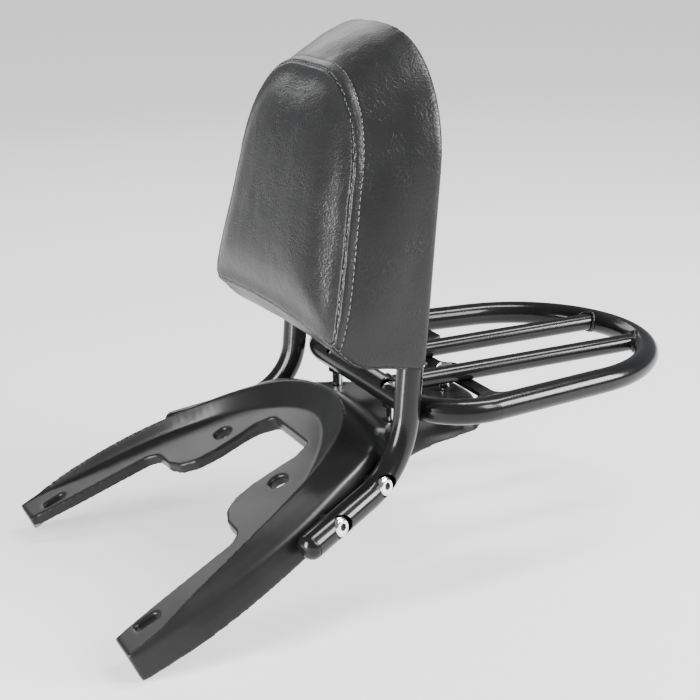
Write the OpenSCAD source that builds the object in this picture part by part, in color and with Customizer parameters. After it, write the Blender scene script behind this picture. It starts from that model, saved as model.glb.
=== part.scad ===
// Passenger backrest and luggage rack for a motorbike, on one cast horseshoe bracket.
// X is across the bike, -Y the front (the bracket's tips), +Y the rear (the rack), +Z up.
// The origin is midway between the bracket's two round holes, on the top of its ledge.

/* [Tubes] */
// Outside diameter of the hoop's and the loop's tube
tube_d = 22; // [20:0.5:25]
// Wall of that tube
tube_wall = 2; // [1.5:0.25:2.5]
// Outside diameter of the rack's two lengthwise bars
bar_d = 16; // [14:0.5:16]
// Wall of the lengthwise bars
bar_wall = 1.5; // [1:0.25:2]

/* [Backrest hoop] */
// Distance between the axes of the hoop's legs
leg_spacing = 225.6; // [220:0.2:230]
// How far the legs lean back, in degrees
leg_lean = 5.3; // [3:0.1:6]
// Where a leg and its foot would meet, ahead of or behind the origin
knee_y = 90.2; // [88:0.1:94]
// Height of that point above the origin
knee_z = 12.5; // [10:0.5:16]
// Radius of the bend between leg and foot, at the tube's axis
knee_r = 66; // [60:1:70]
// Height of the hoop along its legs, from the knee to the top tube's axis
hoop_h = 332.5; // [325:0.5:345]
// Radius of the hoop's two upper bends, at the tube's axis
hoop_r = 92; // [80:1:100]

/* [Side bolts] */
// Distance of the front side bolt from the end of the foot's axis
side_bolt_1 = 29; // [26:0.5:32]
// Distance between the two side bolts of a foot
side_bolt_pitch = 57; // [50:0.5:60]

/* [Rack] */
// Height of the loop's axis above the origin
rack_z = 56; // [55:0.5:60]
// Where the axis of the loop's front tube lies behind the origin
rack_front_y = 111; // [110:0.5:114]
// Where the axis of the loop's rear end lies behind the origin
rack_rear_y = 388.4; // [370:0.2:400]
// Half width of the loop, where its rail and its front tube would meet
rack_half_w = 136.2; // [132:0.1:140]
// How much each rail turns inwards towards the rear, in degrees
rack_taper = 6.9; // [5:0.1:8]
// Radius of the loop's front corners, at the tube's axis
rack_corner_r = 51; // [48:0.5:52]
// Distance between the two lengthwise bars' axes
bar_spacing = 73.4; // [66:0.2:80]
// Height of the bars' axes above the origin
bar_z = 56.6; // [55:0.1:60]

/* [Rack fixing] */
// Distance between the two front rack bolts
rack_bolt_spacing = 108; // [104:1:112]
// Where the rear rack bolt lies behind the origin
rear_bolt_y = 193; // [190:0.5:196]
// Thickness of the cross plate under the bars
plate_t = 4; // [3:0.5:5]
// Top of the bracket's bosses above the origin
boss_z = 31; // [30:0.5:32]

/* [Bracket] */
// How far the ledge slopes down towards its tips, in degrees
ledge_pitch = 24; // [22:0.5:26]
// Thickness of the ledge at its inner edge
ledge_t = 10; // [8:0.5:12]
// Wall of the cast shell
cast_wall = 5.5; // [4.5:0.5:6]
// Distance between the two round holes
hole_spacing = 127; // [124:0.5:130]
// Diameter of the round holes
hole_d = 16; // [14:0.5:17]
// Distance between the two slots
slot_spacing = 263; // [260:0.5:266]
// Distance of the slots ahead of the round holes, along the ledge
slot_v = 154.5; // [150:0.5:158]
// Length of a slot, end to end
slot_l = 21; // [18:0.5:24]
// Width of a slot
slot_w = 9; // [8:0.5:10]

/* [Pad] */
// Half width of the pad at its back
pad_half_w = 129.5; // [128:0.5:131]
// Half width of the sewn front panel at its foot
panel_half_w = 127.5; // [122:0.5:128]
// Half width of the sewn front panel where its arch begins
panel_top_half_w = 113; // [108:0.5:118]
// How far the front panel leans back, in degrees
panel_lean = 11.7; // [10:0.1:13]
// How far the front panel swells at its middle
crown = 9; // [4:0.5:12]
// Thickness of the pad's board
board_t = 6; // [4:0.5:8]
// Width of the two straps that carry the board
strap_w = 28; // [20:1:35]
// Thickness of those straps
strap_t = 4; // [3:0.5:5]

/* [Bolts] */
// Diameter over the thread of the side and rack bolts
bolt_d = 9.8; // [9.5:0.1:10]
// Diameter of their button heads
head_d = 17.5; // [16.5:0.1:18]
// Height of their heads
head_h = 5.2; // [4.8:0.1:5.5]
// Width of the hexagon socket across its flats
socket_af = 6; // [5:0.5:7]
// Depth of the socket
socket_deep = 3.2; // [2.5:0.1:3.5]
// Diameter over the thread of the pad's screws
screw_d = 5.9; // [5.5:0.1:6]

/* [Fits] */
// Radial gap between a bolt and the hole that it passes or screws into
bolt_gap = 0.1; // [0.05:0.05:0.3]
// Radial gap between a seat's sleeve and the tube
sleeve_gap = 0.05; // [0.02:0.01:0.1]
// Gap between the cushion and what it is fitted round
soft_gap = 0.4; // [0.3:0.1:0.8]

/* [Hidden] */
tube_r = tube_d / 2;
bolt_r = bolt_d / 2;
sleeve_r = 8;
seat_r = 9.5;
// The seat's faces, measured from the tube's axis
seat_low = 1;
seat_high = 3.5;
leg_x = leg_spacing / 2;
black = [0.06, 0.06, 0.065];
coat = [0.09, 0.09, 0.095];
leather = [0.11, 0.11, 0.115];
chrome = [0.82, 0.83, 0.85];

// Which sub-part to draw

// Vector helpers
function unit(v) = v / norm(v);
function mix(a, b, t) = a + (b - a) * t;
function up_leg(h) = [0, h * sin(leg_lean), h * cos(leg_lean)];
// A point of the ledge's own frame (x, along the ledge, above it) in the part's frame
function ledge(p) = [p[0], p[1] * cos(ledge_pitch) - p[2] * sin(ledge_pitch),
    p[1] * sin(ledge_pitch) + p[2] * cos(ledge_pitch)];

// A cylinder between two points
module rod(a, b, r) {
    d = b - a;
    translate(a) rotate([0, acos(d[2] / norm(d)), atan2(d[1], d[0])])
        cylinder(r = r, h = norm(d), $fn = 48);
}

// A bent length of tube: centre, direction to its start, direction of travel, angle
module bend(c, a, t, big, turn, r) {
    n = cross(a, t);
    multmatrix([[a[0], t[0], n[0], c[0]], [a[1], t[1], n[1], c[1]], [a[2], t[2], n[2], c[2]]])
        rotate_extrude(angle = turn, $fn = 96) translate([big, 0]) circle(r = r, $fn = 40);
}

// Mirrored copies on both sides
module both() {
    children();
    mirror([1, 0, 0]) children();
}

// The hoop: legs, upper bends, knees and feet
knee = [leg_x, knee_y, knee_z];
foot_end = [156.5, -13, -18];
leg_dir = [0, sin(leg_lean), cos(leg_lean)];
foot_dir = unit(foot_end - knee);
knee_angle = acos(leg_dir * foot_dir);
knee_turn = 180 - knee_angle;
knee_t = knee_r / tan(knee_angle / 2);
knee_leg = knee + leg_dir * knee_t;
knee_foot = knee + foot_dir * knee_t;
knee_c = knee + unit(leg_dir + foot_dir) * knee_r / sin(knee_angle / 2);
leg_top = knee + leg_dir * (hoop_h - hoop_r);
top_c = leg_top - [hoop_r, 0, 0];
top_end = top_c + leg_dir * hoop_r;
// The way that a side bolt's head faces
side_n = unit(cross(foot_dir, [0, sin(ledge_pitch), -cos(ledge_pitch)]));
foot_len = norm(foot_end - knee);
foot_straight = foot_len - knee_t;
// The second bolt lies where the bend has begun, so it follows the tube's axis
bend_past = max(side_bolt_1 + side_bolt_pitch - foot_straight, 0) * 180 / PI / knee_r;
function side_at(i) = i == 0 ? foot_end - foot_dir * side_bolt_1
    : knee_c + unit(knee_foot - knee_c) * knee_r * cos(bend_past)
    - foot_dir * knee_r * sin(bend_past);

// Straight lengths run a little way into the bends, which are finer by a hair
lap = 0.5;
hair = 0.12;

// The hoop's tube as a solid of radius r
module hoop_tube(r) {
    rod(top_end + [lap, 0, 0], [-top_end[0] - lap, top_end[1], top_end[2]], r);
    both() {
        rod(knee_leg - leg_dir * lap, leg_top + leg_dir * lap, r);
        bend(top_c, [1, 0, 0], leg_dir, hoop_r, 90, r - hair);
        bend(knee_c, unit(knee_leg - knee_c), -leg_dir, knee_r, knee_turn, r - hair);
        rod(knee_foot - foot_dir * lap, foot_end + foot_dir * (r < tube_r ? 1 : 0), r);
    }
}

// The cap that closes a foot: a dome with a plug inside the tube
module hoop_cap() {
    plug = tube_r - tube_wall - sleeve_gap;
    aim(foot_end, foot_dir) rotate_extrude($fn = 48)
        polygon(concat([[0, -6], [plug, -6], [plug, 0], [tube_r, 0]],
            [for (a = [0:12:84]) [tube_r * cos(a), 0.5 + 9 * sin(a)]],
            [[0, 0.5 + 9 * sin(84)]]));
}

module hoop_cap_right() {
    color(coat) hoop_cap();
}

module hoop_cap_left() {
    color(coat) mirror([1, 0, 0]) hoop_cap();
}

module hoop() {
    color(coat) difference() {
        hoop_tube(tube_r);
        hoop_tube(tube_r - tube_wall);
        both() for (i = [0, 1]) {
            rod(side_at(i) + side_n * seat_low, side_at(i) + side_n * 16, seat_r + sleeve_gap);
            rod(side_at(i) - side_n * 16, side_at(i) + side_n * 2, sleeve_r + sleeve_gap);
        }
    }
}

// A seat with its sleeve, its axis along +Z: z = 0 is the tube's axis
module seat(low) {
    difference() {
        union() {
            translate([0, 0, seat_low]) cylinder(r = seat_r, h = seat_high - seat_low, $fn = 48);
            translate([0, 0, low]) cylinder(r = sleeve_r, h = seat_low - low, $fn = 48);
        }
        translate([0, 0, low - 1]) cylinder(r = bolt_r + bolt_gap, h = 40, $fn = 48);
    }
}

// A button head bolt along -Z from the underside of its head at z = 0
module bolt(length) {
    difference() {
        union() {
            rotate_extrude($fn = 48) polygon([[0, 0], [head_d / 2, 0], [head_d / 2, 0.8],
                [head_d / 2 - 0.7, 2.2], [head_d / 2 - 2.2, 3.8], [head_d / 2 - 4, 4.8],
                [head_d / 2 - 5, head_h], [0, head_h]]);
            translate([0, 0, -length]) cylinder(r = bolt_r, h = length + 0.5, $fn = 48);
        }
        translate([0, 0, head_h - socket_deep])
            cylinder(d = socket_af / cos(30), h = socket_deep + 1, $fn = 6);
    }
}

// Puts its child's +Z along n at point p
module aim(p, n) {
    translate(p) rotate([0, acos(n[2]), atan2(n[1], n[0])]) children();
}

// How far the sleeves stand out of the foot, to meet the bracket's bosses
side_stand = 12.5;
side_bolt_l = 30;

module hoop_sleeves() {
    for (i = [0, 1]) aim(side_at(i), side_n) seat(-side_stand);
}

module hoop_sleeves_right() {
    color(coat) hoop_sleeves();
}

module hoop_sleeves_left() {
    color(coat) mirror([1, 0, 0]) hoop_sleeves();
}

module side_bolts() {
    for (i = [0, 1]) aim(side_at(i) + side_n * seat_high, side_n) bolt(side_bolt_l);
}

module side_bolts_right() {
    color(chrome) side_bolts();
}

module side_bolts_left() {
    color(chrome) mirror([1, 0, 0]) side_bolts();
}

// The rack's loop: the rear end is one arc that runs into both rails
rear_r = (rack_half_w - (rack_rear_y - rack_front_y) * tan(rack_taper)) * cos(rack_taper)
    / (1 - sin(rack_taper));
rear_c = [0, rack_rear_y - rear_r, rack_z];
corner_x = rack_half_w - rack_corner_r * tan(rack_taper) - rack_corner_r / cos(rack_taper);
corner_c = [corner_x, rack_front_y + rack_corner_r, rack_z];
rail_n = [cos(rack_taper), sin(rack_taper), 0];

module rack_tube(r) {
    rod([-corner_x - lap, rack_front_y, rack_z], [corner_x + lap, rack_front_y, rack_z], r);
    both() {
        bend(corner_c, [0, -1, 0], [1, 0, 0], rack_corner_r, 90 + rack_taper, r - hair);
        rod(corner_c + rail_n * rack_corner_r + rail_t * -lap,
            rear_c + rail_n * rear_r + rail_t * lap, r);
    }
    bend(rear_c, rail_n, rail_t, rear_r, 180 - 2 * rack_taper, r - hair);
}

rail_t = [-sin(rack_taper), cos(rack_taper), 0];
bolt_x = rack_bolt_spacing / 2;

module rack_loop() {
    color(coat) difference() {
        rack_tube(tube_r);
        rack_tube(tube_r - tube_wall);
        both() {
            translate([bolt_x, rack_front_y, rack_z + seat_low])
                cylinder(r = seat_r + sleeve_gap, h = 16, $fn = 48);
            translate([bolt_x, rack_front_y, rack_z - 16])
                cylinder(r = sleeve_r + sleeve_gap, h = 18, $fn = 48);
        }
    }
}

bar_x = bar_spacing / 2;
bar_end_y = rear_c[1] + sqrt(rear_r * rear_r - bar_x * bar_x);

// A lengthwise bar, cut to the curve of the tubes that it is welded to
module rack_bar() {
    difference() {
        rod([bar_x, rack_front_y, bar_z], [bar_x, bar_end_y, bar_z], bar_d / 2);
        rod([bar_x, rack_front_y - 1, bar_z], [bar_x, bar_end_y + 1, bar_z],
            bar_d / 2 - bar_wall);
        rod([0, rack_front_y, rack_z], [bar_x + 12, rack_front_y, rack_z], tube_r);
        bend(rear_c, [1, 0, 0], [0, 1, 0], rear_r, 90, tube_r);
    }
}

module rack_bar_right() {
    color(coat) rack_bar();
}

module rack_bar_left() {
    color(coat) mirror([1, 0, 0]) rack_bar();
}

plate_top = bar_z - bar_d / 2;
// Where a rail's axis lies across, and how far short of it the plate ends
function rail_at(y) = rack_half_w - (y - rack_front_y) * tan(rack_taper);
plate_short = 4;

// Half the cross plate's outline: a pad round the bolt, a neck, and a wide weld at the rail
module plate_outline() {
    y = rear_bolt_y;
    offset(r = -9) offset(r = 9) union() {
        translate([0, y]) circle(r = 19, $fn = 48);
        translate([-rail_at(y) + 8, y - 6]) square([2 * rail_at(y) - 16, 13]);
        for (s = [-1, 1]) scale([s, 1]) polygon([[88, y - 24], [80, y - 12], [80, y + 30],
            [90, y + 46], [rail_at(y + 46) - plate_short, y + 46],
            [rail_at(y - 24) - plate_short, y - 24]]);
    }
}

module rack_plate() {
    color(coat) difference() {
        translate([0, 0, plate_top - plate_t]) linear_extrude(plate_t, $fn = 24) plate_outline();
        translate([0, rear_bolt_y, 0]) cylinder(r = bolt_r + 4 * bolt_gap, h = 100, $fn = 48);
        both() rod(corner_c + rail_n * rack_corner_r + rail_t * -lap,
            rear_c + rail_n * rear_r + rail_t * lap, tube_r);
    }
}

module rack_sleeve() {
    translate([bolt_x, rack_front_y, rack_z]) seat(-tube_r - 0.5);
}

module rack_sleeve_right() {
    color(coat) rack_sleeve();
}

module rack_sleeve_left() {
    color(coat) mirror([1, 0, 0]) rack_sleeve();
}

rack_bolt_l = 50;
rear_bolt_l = 40;

module rack_bolt_right() {
    color(chrome) translate([bolt_x, rack_front_y, rack_z + seat_high]) bolt(rack_bolt_l);
}

module rack_bolt_left() {
    color(chrome) translate([-bolt_x, rack_front_y, rack_z + seat_high]) bolt(rack_bolt_l);
}

module rack_bolt_rear() {
    color(chrome) translate([0, rear_bolt_y, plate_top]) bolt(rear_bolt_l);
}

// The bracket's ring. Each row is one station from a tip to the middle of the rear, in the
// ledge's frame: the foot of the ridge, its crest, its shoulder and the skirt's lower edge.
ring_rows = [
    [[157.5, -181, 0], [158.6, -181, 0.7], [160.4, -181, -3], [159.5, -181, -26.5]],
    [[156.5, -166, 0], [158.2, -166, 1.6], [160.8, -166, -3], [161, -167, -26.5]],
    [[154, -149, 0], [156.6, -150, 4.5], [160.2, -151, -2.5], [162.3, -152, -26.2]],
    [[150, -128, 0], [152.6, -129, 8], [158.6, -131, -2], [163.2, -132, -26]],
    [[145, -106, 0], [147.4, -107.5, 10.5], [156.4, -110.5, -2], [162.2, -112, -26]],
    [[138, -79, 0], [140.8, -80.5, 12.4], [153.4, -85, -2], [159.1, -87, -26]],
    [[129.5, -53, 0], [133.2, -55, 13.4], [149.8, -60, -2], [154.4, -62, -26]],
    [[119.5, -30, 0], [125, -32, 13.6], [145.2, -35.5, -2], [148.6, -37, -26]],
    [[107.5, -10, 0], [116, -9, 13.5], [138.4, -10, -1.5], [141.4, -11, -26]],
    [[95.5, 7, 0], [107, 12, 13.2], [130.2, 12, -1], [132.4, 12, -26.5]],
    [[83, 21.5, 0], [97, 31, 13], [121.2, 33, -1], [123.6, 33, -27]],
    [[70.5, 34, 0], [85, 48.5, 12.8], [111.5, 54, -2], [115, 54, -27]],
    [[57, 45, 0], [70, 65, 12.5], [99, 76, -2], [107, 79, -27]],
    [[40, 56, 0], [51, 79, 12.2], [73, 95, -7], [84, 101, -28]],
    [[20, 64.5, 0], [26, 88, 12], [36, 104, -11.5], [42, 110, -28]],
    [[0, 67.5, 0], [0, 91.5, 12], [0, 106.5, -13], [0, 112, -28]]];
ring_n = len(ring_rows) - 1;

// A smooth curve through the rows
function spline(a, b, c, d, t) = 0.5 * (2 * b + (c - a) * t
    + (2 * a - 5 * b + 4 * c - d) * t * t + (3 * b - a - 3 * c + d) * t * t * t);
function ring_pt(i, k) = i < 0 ? 2 * ring_rows[0][k] - ring_rows[1][k]
    : i > ring_n ? [-ring_rows[2 * ring_n - i][k][0], ring_rows[2 * ring_n - i][k][1],
        ring_rows[2 * ring_n - i][k][2]] : ring_rows[i][k];
function ring_at(s, k) = let (i = min(floor(s), ring_n - 1), t = s - i)
    spline(ring_pt(i - 1, k), ring_pt(i, k), ring_pt(i + 1, k), ring_pt(i + 2, k), t);
// The level way out of the ring at a station
function ring_out(s) = let (a = ring_at(max(s - 0.1, 0), 1), b = ring_at(min(s + 0.1, ring_n), 1),
    d = unit([b[0] - a[0], b[1] - a[1], 0])) s >= ring_n ? [0, 1, 0] : [d[1], -d[0], 0];
// Where the ridge is narrow there is no room for a hollow under it, so the inner points are
// blended from a row close under the ledge to the hollow's own place
function hollow(f, o, wide, deep, t, q) = mix(f + o * mix(wide - cast_wall,
    min(0, wide - cast_wall - 3) + 0.3, t) - [0, 0, mix(ledge_t + 2.4, ledge_t + 1.5, t) + f[2]],
    deep, q);
// A closed section of the shell: outer points from the ledge to the skirt, then inner ones
function ring_section(s) = let (f = ring_at(s, 0), c = ring_at(s, 1), h = ring_at(s, 2),
    k = ring_at(s, 3), o = ring_out(s), w = cast_wall, z = [0, 0, 1], m = mix(c, h, 0.5),
    wide = (h - f) * o, q = min(max((wide - 2 * w - 1) / 6, 0), 1)) [
    f - z * (ledge_t + 1.2) + o * min(0, wide - w - 3), f - z * 0.4,
    mix(f, c, 0.12) - z * 0.25 * c[2] / 13, mix(f, c, 0.85), c, mix(c, h, 0.13) + z * 0.5,
    m + z * 1.2, mix(c, h, 0.9) + z * 0.6, h, mix(h, k, 0.08) + o * 0.4,
    mix(h, k, 0.5) + o * 0.6, k, k - o * w, mix(h, k, 0.45) - o * w,
    hollow(f, o, wide, h - o * w - z * w, 0, q),
    hollow(f, o, wide, m - z * (w + 1) - o * w * 0.3, 0.2, q),
    hollow(f, o, wide, c - z * (w + 1), 0.4, q),
    hollow(f, o, wide, mix(f, c, 0.5) - z * w + o * 2, 0.6, q),
    hollow(f, o, wide, f - z * (w + 2) + o * (w - 0.5), 0.8, q),
    hollow(f, o, wide, f - z * (ledge_t + 1.2) + o * (w - 0.5), 1, q)];

ring_steps = 3;
ring_half = [for (i = [0:ring_n * ring_steps]) ring_section(i / ring_steps)];
ring_all = concat(ring_half, [for (i = [ring_n * ring_steps - 1:-1:0])
    [for (p = ring_half[i]) [-p[0], p[1], p[2]]]]);

// A solid from a row of closed sections that all have the same number of points
module loft(sections) {
    m = len(sections[0]);
    n = len(sections);
    h = m / 2;
    polyhedron(
        points = [for (s = sections) for (p = s) p],
        faces = concat(
            [for (i = [0:n - 2]) for (j = [0:m - 1]) let (a = i * m + j, b = i * m + (j + 1) % m)
                each [[a, a + m, b], [b, a + m, b + m]]],
            [for (j = [0:h - 2]) let (a = m - 1 - j) each [[j, j + 1, a], [j + 1, a - 1, a]]],
            [for (j = [0:h - 2]) let (q = (n - 1) * m, a = q + m - 1 - j)
                each [[q + j, a, q + j + 1], [q + j + 1, a, a - 1]]]));
}

// The ledge's inner edge, from a tip to the middle of the rear, in the ledge's frame
inner_edge = [[132, -180.4], [127.5, -180.4], [123, -172], [116.5, -140], [109.2, -97],
    [104, -66], [96.5, -56], [72, -55], [56, -49], [46.5, -36], [42.5, -18], [42, 8], [43, 26],
    [36, 43], [0, 43]];
edge_fine = 12;

module ledge_outline() {
    outer = [for (i = [0:ring_n]) let (f = ring_at(i, 0), o = ring_out(i),
        p = f + o * min(3, (ring_at(i, 2) - f) * o * 0.5)) [p[0], p[1]]];
    half = concat(inner_edge, [for (i = [ring_n:-1:0]) outer[i]]);
    offset(r = 5, $fn = edge_fine) offset(r = -10, $fn = edge_fine) offset(r = 5, $fn = edge_fine)
        union() {
            polygon(half);
            mirror([1, 0]) polygon(half);
        }
}

// The tail: one section per row, from the ring to the rear end. Each row holds the
// place along Y, the half widths of the top, of the side's break and of the lower edge,
// and the heights of the break and of the lower edge.
tail_rows = [[62, 70, 100, 109.5, 16, -2.5, 22], [74, 77, 100, 106, 20, -0.5, 28],
    [86, 76, 93, 99, 22, 1.5, 31], [98, 70.5, 84, 91, 22.5, 3, 31],
    [110, 64.5, 75.5, 83.5, 22.5, 3.8, 31], [122, 58, 68.5, 76.5, 22, 4.3, 31],
    [134, 52, 63, 71, 21.5, 4.7, 31], [146, 47, 59, 67.5, 21, 5.4, 31],
    [158, 43, 56, 64.8, 20.6, 6, 31], [170, 40, 53.5, 62.5, 20.3, 6.4, 31],
    [182, 37.5, 51, 60.5, 20, 6.8, 31], [193, 35, 48, 57.5, 20, 7.2, 30.8],
    [202, 30, 42, 51, 19.6, 8.2, 30.2], [208.5, 23, 33, 41, 19, 9.5, 29],
    [212, 15, 22, 28, 18, 11.5, 27]];
function tail_section(r) = let (y = r[0], t = r[1], s = r[2], b = r[3], zs = r[4], zb = r[5],
    zt = r[6], w = cast_wall) [
    [b, y, zb], [mix(b, s, 0.5) + 0.8, y, mix(zb, zs, 0.5)], [s, y, zs],
    [mix(s, t, 0.45), y, mix(zs, zt, 0.62)], [t, y, zt - 0.8], [t - 5, y, zt], [0, y, zt + 0.3],
    [-t + 5, y, zt], [-t, y, zt - 0.8], [-mix(s, t, 0.45), y, mix(zs, zt, 0.62)], [-s, y, zs],
    [-mix(b, s, 0.5) - 0.8, y, mix(zb, zs, 0.5)], [-b, y, zb],
    [w - b, y, zb], [w - mix(b, s, 0.5), y, mix(zb, zs, 0.5)], [w - s, y, zs - w * 0.4],
    [w - mix(s, t, 0.45), y, mix(zs, zt, 0.62) - w * 0.7], [w - t, y, zt - w], [w + 4 - t, y, zt - w],
    [0, y, zt - w],
    [t - 4 - w, y, zt - w], [t - w, y, zt - w], [mix(s, t, 0.45) - w, y, mix(zs, zt, 0.62) - w * 0.7],
    [s - w, y, zs - w * 0.4], [mix(b, s, 0.5) - w, y, mix(zb, zs, 0.5)], [b - w, y, zb]];

// The wall that closes the tail at its rear, kept inside the shell's outer faces
module tail_end() {
    n = len(tail_rows);
    hull() for (i = [n - 4:n - 1]) let (q = tail_rows[i]) for (s = [-1, 1])
        for (p = [[q[1] - 3, q[6] - 2.5], [q[2] - 3.2, q[4]], [q[3] - 3.5, q[5] + 2]])
            translate([s * p[0], q[0] - 2.2, p[1]]) cube(0.2, center = true);
}

// A boss for a side bolt, its face square to the bolt
module side_boss(i, r, from, to, fine) {
    aim(side_at(i) - side_n * to, side_n) cylinder(r = r, h = to - from, $fn = fine);
}

// The lip that closes a tip, seen from the front
module tip_lip() {
    both() rotate([ledge_pitch, 0, 0]) translate([0, -174, 0]) rotate([90, 0, 0])
        linear_extrude(7.6) polygon([[126, -9], [124, -0.8], [157.6, -0.8], [159.2, -3],
            [158.3, -26], [154, -26], [140, -16]]);
}

// The cast body before its holes: one mesh, so that its faces meet cleanly
module cast_body() {
    resize([0, 0, 0]) difference() {
        cast_solid();
        both() {
            rod(knee_foot - foot_dir * 5, foot_end + foot_dir * 4, tube_r + 0.25);
            translate(foot_end) sphere(r = tube_r + 0.25, $fn = 32);
        }
    }
}

module cast_solid() {
    union() {
        rotate([ledge_pitch, 0, 0]) {
            loft(ring_all);
            translate([0, 0, -ledge_t]) linear_extrude(ledge_t) ledge_outline();
            translate([0, 0, -ledge_t]) linear_extrude(2) offset(r = 0.9, $fn = edge_fine)
                ledge_outline();
            // The ledge is deeper behind its cut-out
            intersection() {
                translate([0, 0, -ledge_t - 8]) linear_extrude(12) ledge_outline();
                rotate([90, 0, 90]) linear_extrude(104, center = true)
                    polygon([[4, -9], [43, -15], [62, -15], [62, -9]]);
            }
        }
        loft([for (i = [len(tail_rows) - 1:-1:0]) tail_section(tail_rows[i])]);
        tail_end();
        tip_lip();
        // Bosses for the rack bolts, the ribs between them, and bosses for the side bolts
        both() translate([bolt_x, rack_front_y, 8]) cylinder(r = 11, h = boss_z - 8, $fn = 28);
        translate([0, rear_bolt_y, 8]) cylinder(r = 13, h = boss_z + 0.8 - 8, $fn = 28);
        translate([-bolt_x, rack_front_y - 7, 7]) cube([2 * bolt_x, 9, 21]);
        translate([-2, 78, 7]) cube([4, rear_bolt_y - 78, 20]);
        both() for (i = [0, 1]) side_boss(i, 10.5, side_stand, side_stand + 15, 24);
    }
}

module bracket() {
    color(black) difference() {
        cast_body();
        // Holes and slots through the ledge
        both() rotate([ledge_pitch, 0, 0]) {
            translate([hole_spacing / 2, 0, -30]) cylinder(d = hole_d, h = 60, $fn = 48);
            for (s = [-1, 1]) translate([slot_spacing / 2, -slot_v + s * (slot_l - slot_w) / 2, -30])
                cylinder(d = slot_w, h = 60, $fn = 48);
            translate([slot_spacing / 2 - slot_w / 2, -slot_v - (slot_l - slot_w) / 2, -30])
                cube([slot_w, slot_l - slot_w, 60]);
        }
        // Clearance round the feet, and the threaded holes
        both() {
            for (i = [0, 1]) {
                side_boss(i, bolt_r + bolt_gap, 5, 35, 48);
                side_boss(i, sleeve_r + 0.3, 5, side_stand, 48);
            }
            translate([bolt_x, rack_front_y, -10]) cylinder(r = bolt_r + bolt_gap, h = 60, $fn = 48);
        }
        translate([0, rear_bolt_y, -10]) cylinder(r = bolt_r + bolt_gap, h = 60, $fn = 48);
    }
}

// The pad's outlines in X and Z: half the points from the middle of the foot to the top
function arch_half(w0, w1, z0, lift, zc, rc, rb) = concat(
    [for (i = [0:4]) [(w0 - rb) * i / 5, z0 + lift * (1 - pow(i / 5, 2))]],
    [for (i = [0:5]) let (a = -90 + 15 * i) [w0 - rb + rb * cos(a), z0 + rb + rb * sin(a)]],
    [for (i = [1:8]) let (t = i / 9) [mix(w0, w1, t * t * (2 - t)), mix(z0 + rb, zc, t)]],
    [for (i = [0:13]) let (a = 90 * i / 13) [w1 - rc + rc * cos(a), zc + rc * sin(a)]],
    [[(w1 - rc) / 2, zc + rc]]);
// The arch is closed at its top middle, so the list runs foot, right, top, left
function arch_loop(w0, w1, z0, lift, zc, rc, rb) = let (h = arch_half(w0, w1, z0, lift, zc, rc, rb),
    n = len(h)) concat(h, [[0, zc + rc]], [for (i = [n - 1:-1:1]) [-h[i][0], h[i][1]]]);

// The back outline lies on the hoop's plane, the front one on the panel's plane
back_low = 95;
back_zc = 258.5;
back_rc = 103;
back_loop = arch_loop(pad_half_w, pad_half_w, back_low, 0, back_zc, back_rc, 12);
front_loop = arch_loop(panel_half_w, panel_top_half_w, 129, 5, 242, 90, 9);
rim_t = 7;
function hoop_y(z) = knee_y + (z - knee_z) * tan(leg_lean);
function on_back(p, t) = [p[0], hoop_y(p[1]) + t, p[1]];
function panel_y(z) = 22 + (z - 127) * tan(panel_lean);
function on_panel(p, bulge) = [p[0], panel_y(p[1]) - bulge, p[1]];
panel_mid = [0, 225];
function shrink(p, k) = panel_mid + (p - panel_mid) * k;
pad_n = len(back_loop);
pad_rings = concat(
    [[for (p = back_loop) on_back(panel_mid + (p - panel_mid) * 0.975, rim_t)]],
    [[for (p = back_loop) on_back(p, rim_t - 3)]],
    [for (t = [0.2, 0.4, 0.58, 0.74, 0.86, 0.95]) [for (i = [0:pad_n - 1])
        let (b = on_back(back_loop[i], rim_t - 3), f = on_panel(front_loop[i], 0),
            q = mix(b, f, t), d = unit([b[0], 0, b[2] - 225]),
            low = min(max((150 - q[2]) / 25, 0), 1))
            q + d * 2 * sin(180 * t) - [0, 0, low * 13 * sin(180 * pow(t, 2.2))]]],
    [[for (p = front_loop) on_panel(p, 0)]],
    [for (k = [0.965, 0.85, 0.65, 0.4, 0.15]) [for (p = front_loop)
        on_panel(shrink(p, k), crown * (1 - pow(k, 3)))]]);

// The cushion and its sewn cover, with the recess behind for the board and the hoop
module pad_cushion() {
    rings = pad_rings;
    last = (len(rings) - 1) * pad_n;
    mid_b = len(rings) * pad_n;
    color(leather) difference() {
        polyhedron(points = concat([for (r = rings) for (p = r) p],
                [on_back(panel_mid, rim_t), on_panel(panel_mid, crown)]),
            faces = concat(
                [for (r = [0:len(rings) - 2]) for (i = [0:pad_n - 1])
                    let (a = r * pad_n + i, b = r * pad_n + (i + 1) % pad_n)
                    each [[a, b, a + pad_n], [b, b + pad_n, a + pad_n]]],
                [for (i = [0:pad_n - 1]) [mid_b, (i + 1) % pad_n, i]],
                [for (i = [0:pad_n - 1]) [mid_b + 1, last + i, last + (i + 1) % pad_n]]));
        pad_slab(15, -tube_r - board_t - soft_gap, 30);
        hoop_tube(tube_r + soft_gap);
    }
}

// A slab in the shape of the pad's back, drawn in by a margin, between two depths
module pad_slab(margin, from, to) {
    rc = back_rc - margin;
    translate([0, knee_y, knee_z]) rotate([-leg_lean, 0, 0]) translate([0, to, 0])
        rotate([90, 0, 0]) linear_extrude(to - from)
            polygon([for (p = arch_loop(pad_half_w - margin, pad_half_w - margin,
                back_low + 6, 0, back_zc, rc, 8)) [p[0], (p[1] - knee_z) / cos(leg_lean)]]);
}

// Heights of the two straps along the hoop's legs
strap_at = [128, 212];
function strap_c(i) = strap_at[i];
screw_x = 62;

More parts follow.
